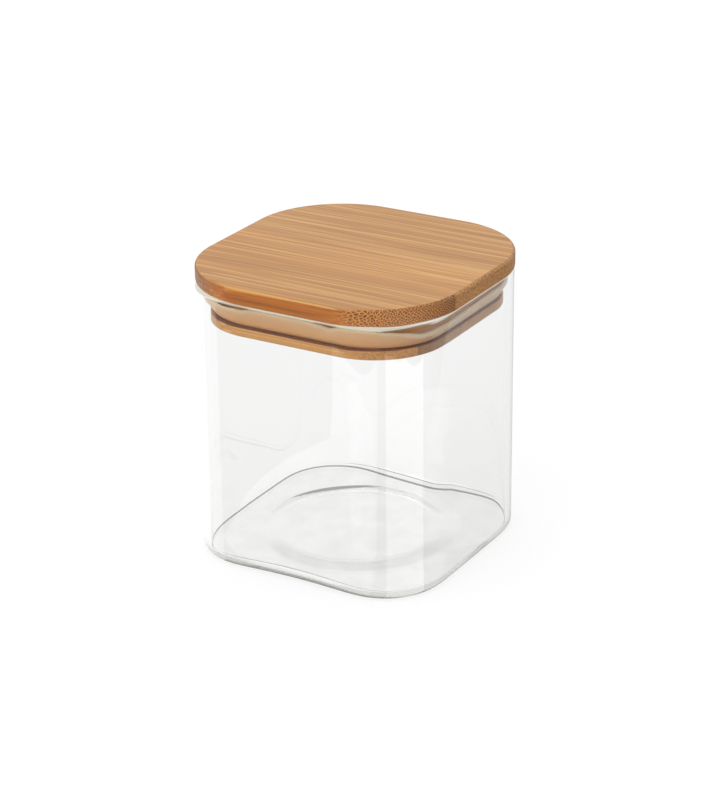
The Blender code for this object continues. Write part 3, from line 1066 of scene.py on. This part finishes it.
CORNER_CARD = (2.2, [(36.5, -43.5), (45.7, -32.5), (261, 21), (252, -116), (201, -202), (171, -227)])


def shown_ray(tree):
    """1 for rays from the camera and rays that glass or gloss sends on, 0 once light has scattered."""
    path = tree.nodes.new("ShaderNodeLightPath")
    seen = calc(tree, "MAXIMUM", path.outputs["Is Camera Ray"], path.outputs["Is Glossy Ray"])
    seen = calc(tree, "MAXIMUM", seen, path.outputs["Is Transmission Ray"])
    return calc(tree, "MULTIPLY", seen, calc(tree, "LESS_THAN", path.outputs["Diffuse Depth"], 0.5))


def add_world():
    """Soft studio dome, brighter overhead. It shows as plain white, with a dark ceiling through glass."""
    world = bpy.data.worlds.new("studio")
    bpy.context.scene.world = world
    world.use_nodes = True
    tree = world.node_tree
    towards = split(tree, tree.nodes.new("ShaderNodeTexCoord").outputs["Generated"])
    height = calc(tree, "MAXIMUM", towards[2], 0.0)
    dome = calc(tree, "ADD", DOME_BASE, calc(tree, "MULTIPLY", height, DOME_RISE))
    dome = calc(tree, "SUBTRACT", dome, calc(tree, "MULTIPLY", towards[0], DOME_FALL))
    through = tree.nodes.new("ShaderNodeLightPath").outputs["Is Transmission Ray"]
    overhead = ease(tree, height, CEILING_REACH, 0.0, CEILING_DARKNESS)
    ceiling = calc(tree, "MULTIPLY", through, overhead)
    shown = shown_ray(tree)
    lit = calc(tree, "MULTIPLY", dome, calc(tree, "SUBTRACT", 1.0, shown))
    plain = calc(tree, "MULTIPLY", shown, calc(tree, "SUBTRACT", 1.0, ceiling))
    background = tree.nodes["Background"]
    background.inputs["Color"].default_value = WHITE
    put(tree, background.inputs["Strength"], calc(tree, "ADD", lit, plain))


def direction(azimuth, elevation):
    """Unit vector towards a camera or lamp at that azimuth and elevation."""
    return Vector((math.sin(azimuth) * math.cos(elevation),
                   -math.cos(azimuth) * math.cos(elevation), math.sin(elevation)))


def add_sun(name, lamp):
    """Wide soft light from one side, which leaves no glare on the lid or the glass."""
    strength, angle, azimuth, elevation = lamp
    light = bpy.data.lights.new(name, "SUN")
    light.energy = strength
    light.angle = math.radians(angle)
    sun = add_object(name, light)
    sun.visible_glossy = False
    towards = direction(math.radians(azimuth), math.radians(elevation))
    sun.rotation_euler = towards.to_track_quat("Z", "Y").to_euler()


def add_flat(name, corners, height, material):
    """Flat stage piece with those corners."""
    bm = bmesh.new()
    bm.faces.new([bm.verts.new((x, y, height)) for x, y in corners])
    flat = add_object(name, mesh_from(bm, name, material))
    return flat


def add_floor():
    """White floor that keeps the canister's soft shadow."""
    material, tree, shader = new_material("white_floor")
    tree.nodes.remove(shader)
    matt = tree.nodes.new("ShaderNodeBsdfDiffuse")
    matt.inputs["Color"].default_value = FLOOR_COLOUR
    glowing = calc(tree, "MULTIPLY", shown_ray(tree), FLOOR_GLOW_SHARE)
    show(tree, mix_shaders(tree, glowing, matt.outputs[0], glow(tree, WHITE, FLOOR_GLOW_STRENGTH)))
    reach = FLOOR_REACH
    corners = [(-reach, -reach), (reach, -reach), (reach, reach), (-reach, reach)]
    add_flat("floor", corners, -FLOOR_DROP, material)


def add_cards():
    """Grey and bright cards on the floor, which give the glass its tones and bands."""
    cards = (FAR_CARD, GREY_CARD, SIDE_CARD, FRONT_CARD, LEFT_CARD, CORNER_CARD)
    for index, (strength, corners) in enumerate(cards):
        name = f"card_{index + 1}"
        material, tree, shader = new_material(name)
        tree.nodes.remove(shader)
        show(tree, glow(tree, WHITE, strength))
        places = [(x * MM, y * MM) for x, y in corners]
        card = add_flat(name, places, CARD_HEIGHT + index * CARD_STEP, material)
        card.visible_camera = False
        card.visible_diffuse = False
        card.visible_transmission = False
        card.visible_shadow = False


def add_camera():
    """Camera at the photograph's place."""
    back = direction(CAMERA_AZIMUTH, CAMERA_ELEVATION)
    level = level_direction(CAMERA_AZIMUTH)
    turn = Matrix((level, back.cross(level), back)).transposed()
    turn = turn @ Matrix.Rotation(-CAMERA_ROLL, 3, "Z")
    aim = (cad_low + cad_high) / 2
    offset = turn @ Vector((CAMERA_RIGHT_SHIFT, CAMERA_UP_SHIFT, CAMERA_DISTANCE))
    lens = bpy.data.cameras.new("camera")
    lens.lens = CAMERA_LENS_MM
    camera = add_object("camera", lens)
    camera.matrix_world = Matrix.Translation(aim + offset) @ turn.to_4x4()
    bpy.context.scene.camera = camera


bpy.context.scene.view_settings.view_transform = "Standard"
bpy.context.scene.cycles.max_bounces = 2 * LIGHT_TURNS
bpy.context.scene.cycles.glossy_bounces = LIGHT_TURNS
bpy.context.scene.cycles.transmission_bounces = LIGHT_TURNS
add_camera()
add_world()
add_sun("key", KEY)
add_sun("fill", FILL)
add_floor()
add_cards()
add_jar()
add_seal()
add_plate()
add_plug()
